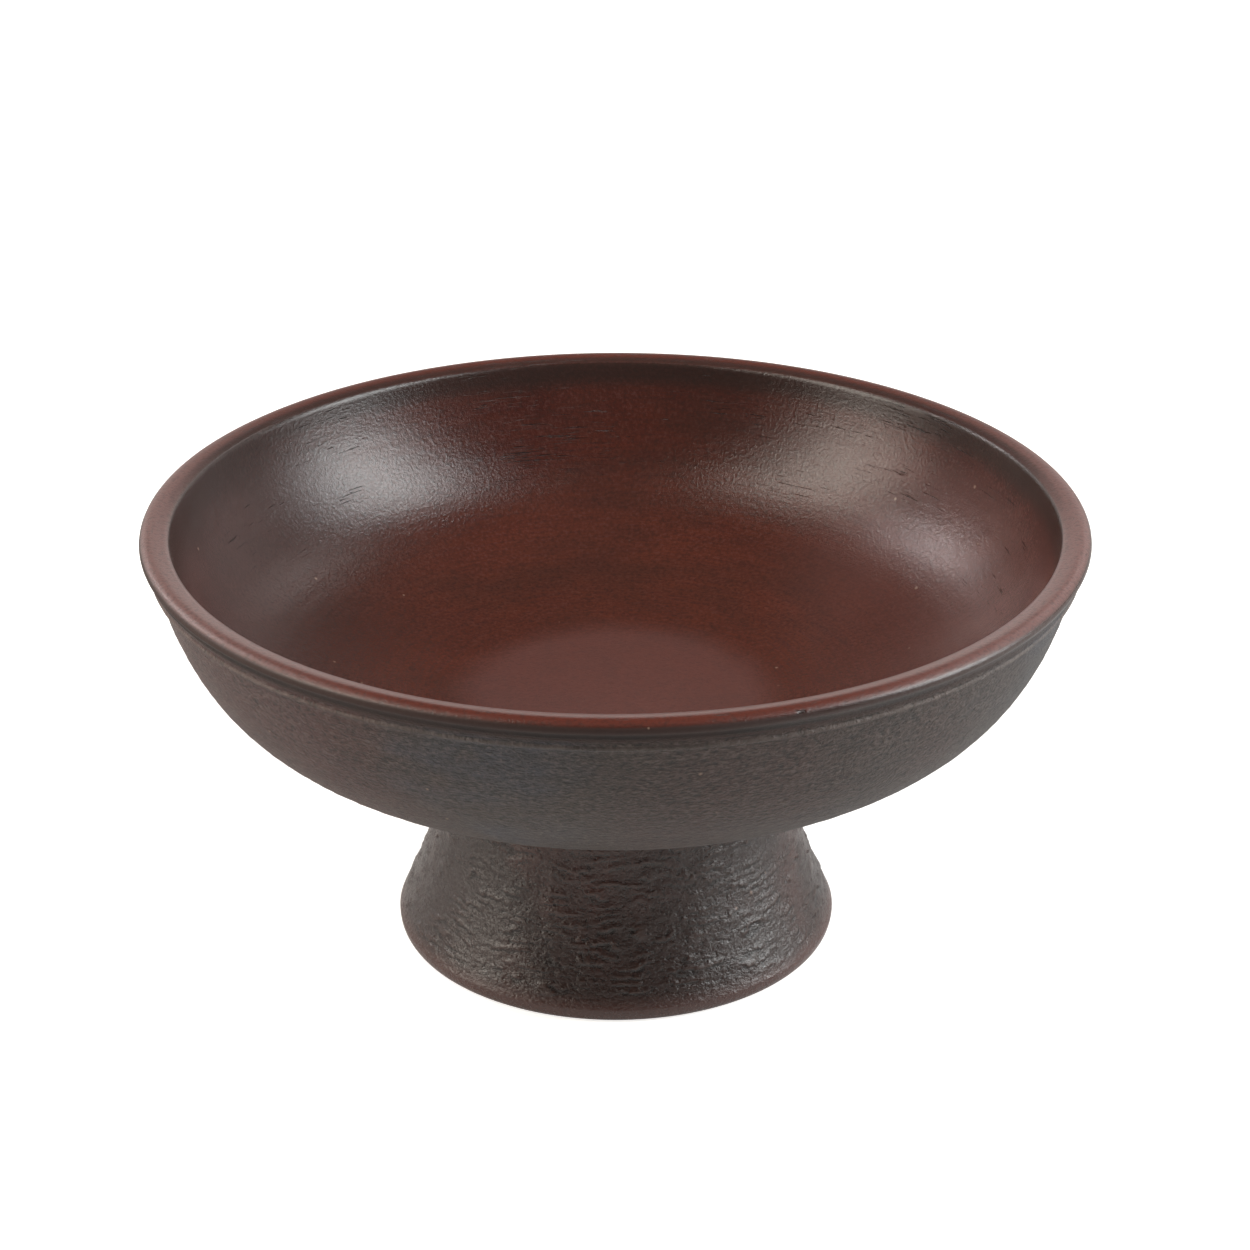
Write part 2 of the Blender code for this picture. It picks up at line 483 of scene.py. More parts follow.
def noise(tree, vector, scale=1.0, detail=2.0, roughness=0.5, distortion=0.0):
    inputs = {"Vector": vector, "Scale": scale, "Detail": detail, "Roughness": roughness}
    inputs["Distortion"] = distortion
    return add(tree, "ShaderNodeTexNoise", inputs).outputs[0]


def wheel_noise(tree, place, around, across, lean=1.0, detail=2.0, roughness=0.5, distortion=0.0):
    """Noise that is drawn out round the pot, as anything is that was made on the wheel."""
    vector = wheel_coordinates(tree, place, around, across, lean)
    return noise(tree, vector, 1.0, detail, roughness, distortion)


def centred(tree, value, size):
    """Turn a value of 0 to 1 into a height from -size/2 to size/2."""
    return product(tree, sum_of(tree, "SUBTRACT", value, 0.5), size)


def outward(tree, place, normal):
    """1 where the surface faces away from the axis, 0 where it faces it."""
    parts = add(tree, "ShaderNodeSeparateXYZ", {0: place}).outputs
    flat = add(tree, "ShaderNodeCombineXYZ", {0: parts[0], 1: parts[1]}).outputs[0]
    side = add(tree, "ShaderNodeVectorMath", {0: flat}, operation="NORMALIZE").outputs[0]
    facing = add(tree, "ShaderNodeVectorMath", {0: side, 1: normal}, operation="DOT_PRODUCT")
    return between(tree, facing.outputs["Value"], 0.0, 0.3)


def carve(piece, name, heights):
    """Push the surface out, and keep the relief; heights(tree, place, normal) gives both values."""
    tree = bpy.data.node_groups.new(name, "GeometryNodeTree")
    tree.interface.new_socket("Geometry", in_out="INPUT", socket_type="NodeSocketGeometry")
    tree.interface.new_socket("Geometry", in_out="OUTPUT", socket_type="NodeSocketGeometry")
    start = add(tree, "NodeGroupInput").outputs[0]
    place = add(tree, "GeometryNodeInputPosition").outputs[0]
    normal = add(tree, "GeometryNodeInputNormal").outputs[0]
    height, relief = heights(tree, place, normal)
    store = add(tree, "GeometryNodeStoreNamedAttribute", data_type="FLOAT", domain="POINT")
    feed(tree, store.inputs["Geometry"], start)
    store.inputs["Name"].default_value = "relief"
    feed(tree, store.inputs["Value"], relief)
    push = add(tree, "ShaderNodeVectorMath", {0: normal, "Scale": height}, operation="SCALE").outputs[0]
    moved = add(tree, "GeometryNodeSetPosition", {"Geometry": store.outputs[0], "Offset": push}).outputs[0]
    tree.links.new(moved, add(tree, "NodeGroupOutput").inputs[0])
    bpy.ops.object.select_all(action="DESELECT")
    piece.select_set(True)
    bpy.context.view_layer.objects.active = piece
    modifier = piece.modifiers.new(name, "NODES")
    modifier.node_group = tree
    bpy.ops.object.modifier_apply(modifier=name)
    print(f"{name} applied to {piece.name}")


print("relief tools are ready")

# %% [markdown]
# ## The bowl's own marks
#
# Inside, broad finger lines climb the wall and a spiral is left at the middle of the floor, where
# the finger started. Outside, the rib dragged the coarse clay into a shallow, stretched grain. The
# lip was smoothed with a wet cloth, so it only wavers a little. Bump in the material could fake all
# of this except its outline, so whatever is wide enough for the mesh is carved.

# %% Carve the bowl
SPIRAL_PITCH = 5.5 * MM


def bowl_marks(tree, place, normal):
    radius, height = radius_and_height(tree, place)
    outside = outward(tree, place, normal)
    inside = sum_of(tree, "SUBTRACT", 1.0, outside)
    off_lip = between(tree, height, below_top(7.0), below_top(11.0))

    waver = centred(tree, noise(tree, place, 7.0, 1.0), 0.5 * MM)
    fingers = centred(tree, wheel_noise(tree, place, 1.2, 260.0, detail=1.0), 0.13 * MM)
    fingers = product(tree, fingers, product(tree, inside, off_lip))
    grain = centred(tree, wheel_noise(tree, place, 30.0, 420.0), 0.5 * MM)
    grain = product(tree, grain, product(tree, outside, off_lip))

    parts = add(tree, "ShaderNodeSeparateXYZ", {0: place}).outputs
    angle = sum_of(tree, "ARCTAN2", parts[1], parts[0])
    phase = sum_of(tree, "MULTIPLY_ADD", radius, math.tau / SPIRAL_PITCH, angle)
    near_middle = product(tree, between(tree, radius, 30 * MM, 8 * MM), inside)
    spiral = product(tree, sum_of(tree, "SINE", phase), 0.05 * MM, near_middle)
    return add_up(tree, waver, fingers, grain, spiral), grain


carve(bowl, "bowl_marks", bowl_marks)

# %% [markdown]
# ## The foot
#
# The foot is thrown upside down as a flared ring and turned on the outside while it is still soft.
# The tool drags the grit and tears the skin into short overlapping ridges, like fish scales. They
# could be sculpted one by one. Here a saw tooth of height does it: its steps climb the foot, noise
# bends them and breaks them up, and each steep side becomes the lip of a scale. That skin is a real
# shape, so the foot is spun finely, a point every 0.6 mm, and carved.

# %% Foot section
FOOT_STEPS_ROUND = 576
FOOT_WALL = 7.5 * MM


def foot_section():
    """Scored top, flared outside, rounded edge, standing ring, and the bore back up."""
    top_out = (NECK, FOOT_TOP)
    edge = (BASE, 4.2 * MM)
    flare = BASE - NECK
    low = (BASE - 0.42 * flare, 0.30 * FOOT_TOP)
    high = (NECK, 0.64 * FOOT_TOP)
    points = [(BORE, FOOT_TOP)]
    points += line(points[-1], top_out, 6)
    points += curve(top_out, high, low, edge, 100)
    points += curve(edge, (BASE + 0.1 * MM, 2.0 * MM), (BASE - 0.8 * MM, 0.0), (BASE - 2.6 * MM, 0.0), 12)
    ring_in = (BASE - FOOT_WALL, 0.0)
    points += line(points[-1], ring_in, 8)
    bore_start = (ring_in[0] - 1.0 * MM, 1.0 * MM)
    points += line(ring_in, bore_start, 2)
    bore_low = (low[0] - FOOT_WALL - 1.0 * MM, low[1])
    points += curve(bore_start, bore_low, (BORE, high[1]), (BORE, FOOT_TOP), 40)
    return points


foot = turn("flared_foot", foot_section(), FOOT_STEPS_ROUND, closed=True)


# %% Carve the foot
FOOT_LEAN = -0.4
SCALE_PITCH = 2.6 * MM


def foot_marks(tree, place, normal):
    height = radius_and_height(tree, place)[1]
    outside = outward(tree, place, normal)
    inside = sum_of(tree, "SUBTRACT", 1.0, outside)
    above_edge = between(tree, height, 3.5 * MM, 9.0 * MM)
    below_joint = between(tree, height, FOOT_TOP - 1.0 * MM, FOOT_TOP - 4.0 * MM)
    clear_of_edges = product(tree, above_edge, below_joint)

    waver = centred(tree, noise(tree, place, 14.0, 1.0), 0.4 * MM)
    wander = product(tree, wheel_noise(tree, place, 3.2, 120.0, FOOT_LEAN), 4.2)
    pitch = sum_of(tree, "MULTIPLY_ADD", height, -1.0 / SCALE_PITCH, wander)
    lifted = sum_of(tree, "POWER", sum_of(tree, "FRACT", pitch), 1.6)
    patches = between(tree, wheel_noise(tree, place, 7.0, 190.0, FOOT_LEAN), 0.39, 0.62)
    scales = product(tree, lifted, patches, 0.52 * MM)
    crumbs = wheel_noise(tree, place, 24.0, 760.0, FOOT_LEAN, detail=3.0)
    crumbs = centred(tree, crumbs, 0.34 * MM)
    torn = product(tree, add_up(tree, scales, crumbs), outside, clear_of_edges)
    cracks = product(tree, between(tree, lifted, 0.20, 0.02), patches, clear_of_edges, -0.4 * MM)

    fingers = centred(tree, wheel_noise(tree, place, 1.4, 210.0, FOOT_LEAN, detail=1.0), 0.5 * MM)
    fingers = product(tree, fingers, inside, clear_of_edges)
    off_table = between(tree, height, 0.0, 3.5 * MM)
    height_pushed = product(tree, add_up(tree, waver, torn, fingers), off_table)
    return height_pushed, add_up(tree, torn, cracks)


carve(foot, "foot_marks", foot_marks)

# %% [markdown]
# ## The joint
#
# Slip is clay thinned to a cream. It squeezes out round the neck when the foot is pressed on, and
# a wet finger smears it down over the foot. Inside the foot a coil is pressed into the corner, and
# each press leaves a dent. Both are rings, so they are turned like the rest. The dents could be cut
# one by one, but a sine round the axis, a little uneven, gives a finger's rhythm at once.

# %% Slip and coil
SLIP_BORE = BORE + 0.2 * MM
JOINT_STEPS_ROUND = 240
PRESSES_ROUND = 20


def slip_section():
    """The thin layer between the scored faces, with its bead outside and a smear down the foot."""
    top = slip_high.z
    bottom = slip_low.z
    points = [(SLIP_BORE, bottom), (SLIP_BORE, top)]
    points += line(points[-1], (NECK, top), 3)
    swell = (NECK + 1.4 * MM, top - 0.1 * MM)
    hang = (NECK + 1.0 * MM, bottom - 0.4 * MM)
    smear = (NECK + 0.12 * MM, bottom - 1.9 * MM)
    points += curve(points[-1], swell, hang, smear, 12)
    points += line(points[-1], (NECK + 0.04 * MM, bottom), 2)
    points += line(points[-1], (SLIP_BORE, bottom), 3)
    return points


def coil_section():
    """A three-cornered section, hollowed on its open side by the finger."""
    corner = (coil_high.x, coil_high.z)
    lower = (corner[0], coil_low.z)
    inner = (corner[0] - (coil_high.z - coil_low.z), corner[1])
    middle = (corner[0] - 3.0 * MM, corner[1] - 3.0 * MM)
    points = [corner]
    points += line(corner, inner, 6)
    points += curve(inner, middle, middle, lower, 16)
    points += line(lower, corner, 6)
    return points


def slip_marks(tree, place, normal):
    smear = centred(tree, wheel_noise(tree, place, 9.0, 160.0), 0.36 * MM)
    height = product(tree, smear, outward(tree, place, normal))
    return height, height


def coil_marks(tree, place, normal):
    parts = add(tree, "ShaderNodeSeparateXYZ", {0: place}).outputs
    angle = sum_of(tree, "ARCTAN2", parts[1], parts[0])
    uneven = product(tree, noise(tree, place, 28.0, 1.0), 3.0)
    phase = sum_of(tree, "MULTIPLY_ADD", angle, PRESSES_ROUND / 2, uneven)
    press = sum_of(tree, "ABSOLUTE", sum_of(tree, "SINE", phase))
    facing_in = sum_of(tree, "SUBTRACT", 1.0, outward(tree, place, normal))
    up = add(tree, "ShaderNodeSeparateXYZ", {0: normal}).outputs[2]
    open_side = product(tree, facing_in, between(tree, up, 0.0, -0.3))
    dents = product(tree, sum_of(tree, "POWER", press, 0.6), -0.9 * MM)
    crumbs = centred(tree, noise(tree, place, 160.0), 0.3 * MM)
    height = product(tree, add_up(tree, dents, crumbs), open_side)
    return height, height


slip = turn("slip_bead", slip_section(), JOINT_STEPS_ROUND, closed=True)
carve(slip, "slip_marks", slip_marks)
coil = turn("pressed_coil", coil_section(), JOINT_STEPS_ROUND, closed=True)
carve(coil, "coil_marks", coil_marks)
print("pieces:", bowl.name, foot.name, slip.name, coil.name)

# %% [markdown]
# ## Shader effects used by more than one clay
#
# Each effect is a group of shader nodes, built once and then placed in every material that needs
# it, with its own amounts. The nodes could be copied into each material, but then a change would
# have to be made in every copy. All of them read Object coordinates, so a mark stays where it is on
# the pot. They put out masks and heights, and the material decides what those do.

# %% Group helper
def effect(name, build, **inputs):
    """A shader node group. inputs gives each input's default; build returns {output: socket}."""
    tree = bpy.data.node_groups.new(name, "ShaderNodeTree")
    for key, value in inputs.items():
        tree.interface.new_socket(key, in_out="INPUT", socket_type="NodeSocketFloat").default_value = value
    given = add(tree, "NodeGroupInput").outputs
    place = add(tree, "ShaderNodeTexCoord").outputs["Object"]
    results = build(tree, place, given)
    out = tree.nodes.new("NodeGroupOutput")
    for key, socket in results.items():
        tree.interface.new_socket(key, in_out="OUTPUT", socket_type="NodeSocketFloat")
        tree.links.new(socket, out.inputs[key])
    return tree


def use(tree, group, **amounts):
    node = tree.nodes.new("ShaderNodeGroup")
    node.node_tree = group
    for key, value in amounts.items():
        feed(tree, node.inputs[key], value)
    return node.outputs


print("group helpers are ready")

# %% [markdown]
# **Throwing lines** are the fine lines that fingers and grit leave as the pot turns. **Shagreen** is
# the leathery skin that a tool leaves on coarse clay, drawn out round the pot. **Clay grain** is the
# sand in the body. **Smoke** is where the fire was starved of air and carbon went into the clay.
# ** Drag marks** are short dark nicks where a grain of grit was pulled along under the rib. **Lime
# specks** are pale grains of lime and quartz. The **ring** effect is a soft, broken band at a given
# radius and height; it paints a highlight on the ridge and shade in the groove and in a line inside the
# lip.

# %% Effects
def throwing_lines(tree, place, given):
    broad = wheel_noise(tree, place, 2.0, 520.0)
    fine = wheel_noise(tree, place, 5.0, 2100.0, detail=3.0)
    return {"Height": sum_of(tree, "MULTIPLY_ADD", fine, 0.45, broad), "Fine": fine}


def shagreen(tree, place, given):
    return {"Height": wheel_noise(tree, place, given["Around"], 1000.0, given["Lean"], 3.0, 0.62, 0.5)}


def clay_grain(tree, place, given):
    coarse = noise(tree, place, 900.0, 3.0, 0.62)
    fine = noise(tree, place, 3000.0, 2.0, 0.6)
    return {"Height": sum_of(tree, "MULTIPLY_ADD", fine, 0.5, coarse), "Coarse": coarse}


def smoke(tree, place, given):
    clouds = noise(tree, place, 9.0, 5.0, 0.62, 0.4)
    wisps = wheel_noise(tree, place, 1.6, 34.0, detail=4.0, roughness=0.6)
    both = sum_of(tree, "MULTIPLY_ADD", wisps, 0.6, clouds)
    lower = sum_of(tree, "SUBTRACT", 1.15, given["Amount"])
    mask = between(tree, both, lower, sum_of(tree, "ADD", lower, 0.28))
    return {"Mask": mask, "Clouds": clouds}


def drag_marks(tree, place, given):
    dashes = wheel_noise(tree, place, 11.0, 1700.0, detail=4.0, roughness=0.6, distortion=0.3)
    patches = wheel_noise(tree, place, 2.4, 55.0)
    level = sum_of(tree, "MULTIPLY_ADD", patches, 0.45, dashes)
    return {"Mask": between(tree, level, 0.90, 0.95)}


def specks(tree, place, given):
    cells = add(tree, "ShaderNodeTexVoronoi", {"Vector": place, "Scale": 230.0}, feature="F1")
    chosen = add(tree, "ShaderNodeSeparateColor", {0: cells.outputs["Color"]}).outputs
    rare = between(tree, chosen[0], 0.955, 0.965)
    size = product(tree, chosen[1], 0.10)
    dot = between(tree, cells.outputs["Distance"], sum_of(tree, "ADD", size, 0.09), 0.03)
    return {"Mask": product(tree, dot, rare)}


# Painted light: a soft ring of colour that paints a highlight on an edge or shade in a groove.
def painted_light_ring(tree, place, given):
    radius, height = radius_and_height(tree, place)
    out = sum_of(tree, "SUBTRACT", radius, given["Radius"])
    up = sum_of(tree, "SUBTRACT", height, given["Height"])
    away = sum_of(tree, "SQRT", sum_of(tree, "MULTIPLY_ADD", out, out, product(tree, up, up)))
    near = between(tree, away, given["Width"], product(tree, given["Width"], 0.2))
    broken = between(tree, noise(tree, place, 60.0, 4.0), 0.25, 0.6, 0.45, 1.0)
    return {"Mask": product(tree, near, broken)}


LINES = effect("Throwing lines", throwing_lines)
SHAGREEN = effect("Shagreen", shagreen, Around=84.0, Lean=1.0)
GRAIN = effect("Clay grain", clay_grain)
SMOKE = effect("Smoke", smoke, Amount=0.4)
DRAGS = effect("Drag marks", drag_marks)
SPECKS = effect("Lime specks", specks)
PAINTED_LIGHT_RING = effect("Painted light ring", painted_light_ring, Radius=RIM, Height=TOP, Width=2.0 * MM)
print("effects:", [g.name for g in bpy.data.node_groups if g.bl_idname == "ShaderNodeTree"])

# %% [markdown]
# ## Colours and bumps
#
# The colours are of one family, from brick red through smoked brown to the grey of pencil lead. Each
# is given as it would be read off a paint chart. The clays differ in where these colours lie. Marks
# too fine for the mesh are bumps, chained one after another, each with its own depth.

# %% Colours of the clay
RED = paint(91, 43, 32)
BROWN = paint(108, 58, 44)
DEEP_RED = paint(62, 28, 22)
PLUM = paint(66, 38, 38)
SMOKED = paint(46, 37, 34)
GRAPHITE = paint(60, 49, 45)
LEAD = paint(52, 56, 68)
RUST = paint(70, 35, 31)
DUST_AND_SHEEN = paint(112, 78, 74)
ASH_BROWN = paint(76, 54, 46)
ASH_GREY = paint(104, 92, 86)
BRICK = paint(96, 44, 33)
ROSE_SHEEN = paint(122, 88, 84)
SOOT_AND_SHADE_BROWN = paint(46, 22, 15)
RUSTY_BROWN = paint(106, 74, 68)
FOOT_RED = paint(76, 42, 35)
FOOT_SMOKED = paint(48, 33, 29)
DAMP_SLIP = paint(84, 60, 52)
DAMP_COIL = paint(96, 66, 54)
PALE = paint(170, 140, 122)
BLACK = paint(16, 12, 11)


def new_clay(name):
    material = bpy.data.materials.new(name)
    material.use_nodes = True
    return material, material.node_tree, material.node_tree.nodes["Principled BSDF"]


def bumps(tree, shader, *layers):
    """Chain Bump nodes: each layer is (height socket, strength, distance in metres)."""
    normal = None
    for height, strength, distance in layers:
        node = add(tree, "ShaderNodeBump", {"Height": height, "Strength": strength, "Distance": distance})
        if normal is not None:
            feed(tree, node.inputs["Normal"], normal)
        normal = node.outputs["Normal"]
    feed(tree, shader.inputs["Normal"], normal)


print("burnished red, as linear values:", [round(c, 3) for c in RED])

# %% [markdown]
# ## Clay of the bowl
#
# It is one lump of clay with three finishes: burnished inside, rubbed on the lip, and rough and
# smoked outside. Three materials on three sets of faces would leave hard edges between them. So one
# material does it all, and masks that fade over a millimetre or two say what part of the bowl a
# point is on. They are worked out first, from its place and from which way the surface faces.

# %% Masks of the bowl
def bowl_masks(tree):
    """Where a point of the bowl is, in metres, and what part of the bowl that is, from 0 to 1."""
    place = add(tree, "ShaderNodeTexCoord").outputs["Object"]
    normal = add(tree, "ShaderNodeNewGeometry").outputs["Normal"]
    parts = add(tree, "ShaderNodeSeparateXYZ", {0: place}).outputs
    radius, height = radius_and_height(tree, place)
    outside = outward(tree, place, normal)
    below_lip = between(tree, height, below_top(4.0), below_top(5.2))
    # Soot and painted shade: the lip's outer edge and the groove under it face down and are painted dark.
    soot_shade_from = between(tree, height, below_top(0.4), below_top(1.9))
    soot_shade_to = between(tree, height, below_top(7.4), below_top(5.4))
    return {
        "x": parts["X"],
        "y": parts["Y"],
        "aside": sum_of(tree, "ABSOLUTE", parts["X"]),
        "radius": radius,
        "height": height,
        "outer wall": product(tree, outside, below_lip),
        "lip": between(tree, height, below_top(1.7), below_top(0.8)),
        "soot_and_shade": product(tree, outside, soot_shade_from, soot_shade_to),
    }


print("the lip's mask is full above", round(below_top(0.8) / MM, 1), "mm")

# %% [markdown]
# ## Burnished inside
#
# The inside was rubbed with a pebble until it shone, so the red shows through, and smoke lies over
# it in clouds, thickest on one side and under the lip. The floor and the sides of the wall are painted
# paler, a painted sheen. A painted texture could hold all this, but would blur close up. Layers of
# noise stay sharp at any distance.

# %% Burnished inside
def inside_colour(tree, at, lines, grain, haze):
    """Red and brown, smoked on the left and under the lip, with painted sheen to the sides and on the
    floor and a painted shade line below the lip.
    """
    clouds = haze["Clouds"]
    red = coats(
        tree,
        blend(tree, between(tree, clouds, 0.35, 0.65), DEEP_RED, RED),
        (between(tree, at["height"], below_top(22.0), FLOOR_HEIGHT + 4.0 * MM, 0.0, 0.45), BROWN),
        (between(tree, lines["Fine"], 0.42, 0.62, 0.0, 0.35), PLUM),
        (between(tree, grain["Coarse"], 0.50, 0.38, 0.0, 0.4), SMOKED),
        (between(tree, grain["Coarse"], 0.52, 0.66, 0.0, 0.22), DUST_AND_SHEEN),
    )

    smoky_side = between(tree, at["x"], -45.0 * MM, -125.0 * MM)
    smoky_from = between(tree, at["height"], below_top(12.0), below_top(5.0))
    smoky_to = between(tree, at["height"], below_top(0.9), below_top(1.6))
    under_lip = product(tree, smoky_from, smoky_to)
    cover = product(tree, haze["Mask"], 0.45)
    cover = sum_of(tree, "MAXIMUM", cover, product(tree, smoky_side, 0.8))
    cover = sum_of(tree, "MAXIMUM", cover, product(tree, under_lip, 0.8))

    # Painted sheen: the sides of the wall are painted paler, the right side more than the left.
    to_side = sum_of(tree, "MULTIPLY_ADD", at["x"], 0.25, at["aside"])
    to_side = between(tree, to_side, 50.0 * MM, 130.0 * MM)
    cloudy = between(tree, clouds, 0.35, 0.65, 0.4, 0.85)
    painted_sheen = product(tree, to_side, cloudy, between(tree, at["height"], below_top(6.0), below_top(22.0)))

    # Painted sheen: a soft paler patch is painted over the floor of the bowl.
    floor_sheen_reach = sum_of(tree, "MULTIPLY_ADD", clouds, -18.0 * MM, at["radius"])
    floor_sheen = between(tree, floor_sheen_reach, FLOOR_RADIUS - 2.0 * MM, FLOOR_RADIUS - 18.0 * MM, 0.0, 0.55)

    # Painted shade: a thin dark line is painted where a shallow groove runs round under the lip.
    ring = use(tree, PAINTED_LIGHT_RING, Radius=LIP_INNER - 1.2 * MM, Height=below_top(11.5), Width=0.8 * MM)
    ring_shade = product(tree, ring["Mask"], 0.5)
    return coats(tree, red, (cover, SMOKED), (painted_sheen, DUST_AND_SHEEN), (floor_sheen, DUST_AND_SHEEN), (ring_shade, BLACK))


print("dusty floor out to about", round(FLOOR_RADIUS / MM), "mm")

# %% [markdown]
# ## Smoked outside
#
# Outside, the clay was left as the rib left it, and the smoke went deep, to a grey like pencil lead.
# Soot fills the lines and hollows, and the high spots are paler. The same heights that bump the
# surface choose these colours, so that dark and pale fall where a hand would feel low and high.

# %% Smoked outside
def outside_colour(tree, at, lines, skin, haze):
    """Lead and graphite, rusty on the left, with dark lines and hollows, pale high spots, and painted
    shade towards the right side.
    """
    relief = add(tree, "ShaderNodeAttribute", attribute_name="relief").outputs["Fac"]
    deep_smoke = use(tree, SMOKE, Amount=0.60)
    left = between(tree, at["x"], -20.0 * MM, -110.0 * MM)
    rusty = sum_of(tree, "MULTIPLY_ADD", left, 0.6, sum_of(tree, "SUBTRACT", haze["Clouds"], 0.42))
    return coats(
        tree,
        blend(tree, deep_smoke["Mask"], LEAD, GRAPHITE),
        (between(tree, rusty, 0.05, 0.45, 0.0, 0.85), RUST),
        (between(tree, lines["Fine"], 0.48, 0.38, 0.0, 0.36), BLACK),
        (between(tree, lines["Fine"], 0.54, 0.66, 0.0, 0.2), ASH_GREY),
        (between(tree, skin["Height"], 0.52, 0.66, 0.0, 0.45), ASH_GREY),
        (between(tree, skin["Height"], 0.50, 0.36, 0.0, 0.75), BLACK),
        # Painted shade: the wall is painted darker towards its right side.
        (between(tree, at["x"], 84.0 * MM, 126.0 * MM, 0.0, 0.35), BLACK),
        (between(tree, relief, -0.02 * MM, -0.12 * MM, 0.0, 0.5), BLACK),
    )


print("lead and graphite:", [round(c, 3) for c in LEAD], [round(c, 3) for c in GRAPHITE])

# %% [markdown]
# ## Lip, with painted sheen at the sides
#
# The top of the lip is painted a paler rose at the sides, a painted sheen, fading towards the back.
# A curvature or edge mask could find the lip, but it would also find the ridge and the groove. Height
# and radius pick out the lip alone.

# %% Lip, with painted sheen at the sides
def lip_colour(tree, at, grain):
    """Brick in front, painted rose at the sides as a painted sheen, and smoked on the slope at the back.
    """
    # Painted sheen: the sides of the lip are painted a paler rose, less towards the back.
    lip_side_sheen = between(tree, at["aside"], 50.0 * MM, 122.0 * MM)
    lip_side_sheen = product(tree, lip_side_sheen, between(tree, at["y"], 90.0 * MM, 20.0 * MM, 0.3, 1.0))
    at_back = between(tree, at["y"], -20.0 * MM, 60.0 * MM)
    slope = between(tree, at["radius"], in_from_rim(4.6), in_from_rim(6.6))
    return coats(
        tree,
        blend(tree, lip_side_sheen, BRICK, ROSE_SHEEN),
        (between(tree, grain["Coarse"], 0.50, 0.38, 0.0, 0.4), SMOKED),
        (product(tree, at_back, slope, 0.8), SMOKED),
    )


print("lip from", round(LIP_INNER / MM, 1), "to", round(RIM / MM, 1), "mm")

# %% [markdown]
# ## The bowl's clay as a whole
#
# The finishes are laid over each other, then the things that lie over all of them: soot and painted
# shade under the lip's outer edge, painted shade in the groove, a painted highlight on the ridge, drag
# marks and lime specks. A burnished surface is smooth and a rough one scatters light, so the same
# masks set the roughness. The slope of the lip has a thin coat, which is the shine that hands leave.

# %% Bowl clay
def bowl_clay():
    material, tree, shader = new_clay("smoked_clay")
    at = bowl_masks(tree)
    lines = use(tree, LINES)
    skin = use(tree, SHAGREEN, Around=84.0, Lean=1.0)
    grain = use(tree, GRAIN)
    haze = use(tree, SMOKE, Amount=0.42)
    flecks = use(tree, SPECKS)
    # Painted shade: the groove under the lip's outer edge is painted darker.
    groove = use(tree, PAINTED_LIGHT_RING, Radius=in_from_rim(1.0), Height=below_top(4.3), Width=1.6 * MM)
    # Painted highlight: the ridge under the lip is painted paler.
    ridge_highlight = use(tree, PAINTED_LIGHT_RING, Radius=in_from_rim(2.4), Height=below_top(8.1), Width=0.9 * MM)
    upper_wall = between(tree, at["height"], below_top(40.0), below_top(28.0))
    dragged = product(tree, use(tree, DRAGS)["Mask"], upper_wall)

    colour = coats(
        tree,
        inside_colour(tree, at, lines, grain, haze),
        (at["outer wall"], outside_colour(tree, at, lines, skin, haze)),
        (product(tree, at["lip"], 0.85), lip_colour(tree, at, grain)),
        # Soot and painted shade: dark brown over the lip's outer edge and the groove under it.
        (product(tree, at["soot_and_shade"], 0.9), SOOT_AND_SHADE_BROWN),
        (product(tree, groove["Mask"], 0.7), BLACK),
        (product(tree, ridge_highlight["Mask"], 0.5), ASH_GREY),
        (product(tree, dragged, 0.7), BLACK),
        (product(tree, flecks["Mask"], 0.6), PALE),
    )
    feed(tree, shader.inputs["Base Color"], colour)

    roughness = between(tree, at["outer wall"], 0.0, 1.0, 0.17, 0.45)
    roughness = sum_of(tree, "MULTIPLY_ADD", grain["Coarse"], 0.08, roughness)
    roughness = sum_of(tree, "MULTIPLY_ADD", at["lip"], 0.16, roughness)
    sooty_edge = product(tree, at["soot_and_shade"], between(tree, at["x"], 60.0 * MM, 20.0 * MM, 0.35, 0.72))
    feed(tree, shader.inputs["Roughness"], sum_of(tree, "MAXIMUM", roughness, sooty_edge))
    lip_slope = between(tree, at["radius"], in_from_rim(2.4), in_from_rim(3.6))
    feed(tree, shader.inputs["Coat Weight"], product(tree, at["lip"], lip_slope, 0.5))
    shader.inputs["Coat Roughness"].default_value = 0.25
    shader.inputs["IOR"].default_value = 1.5
    bumps(
        tree,
        shader,
        (lines["Height"], 0.12, 0.25 * MM),
        (grain["Height"], between(tree, at["outer wall"], 0.0, 1.0, 0.62, 0.9), 0.22 * MM),
        (skin["Height"], between(tree, at["outer wall"], 0.0, 1.0, 0.03, 0.9), 0.7 * MM),
        (sum_of(tree, "SUBTRACT", 1.0, dragged), 0.6, 0.3 * MM),
    )
    return material


SMOKED_CLAY = bowl_clay()
print(SMOKED_CLAY.name, "has", len(SMOKED_CLAY.node_tree.nodes), "nodes")
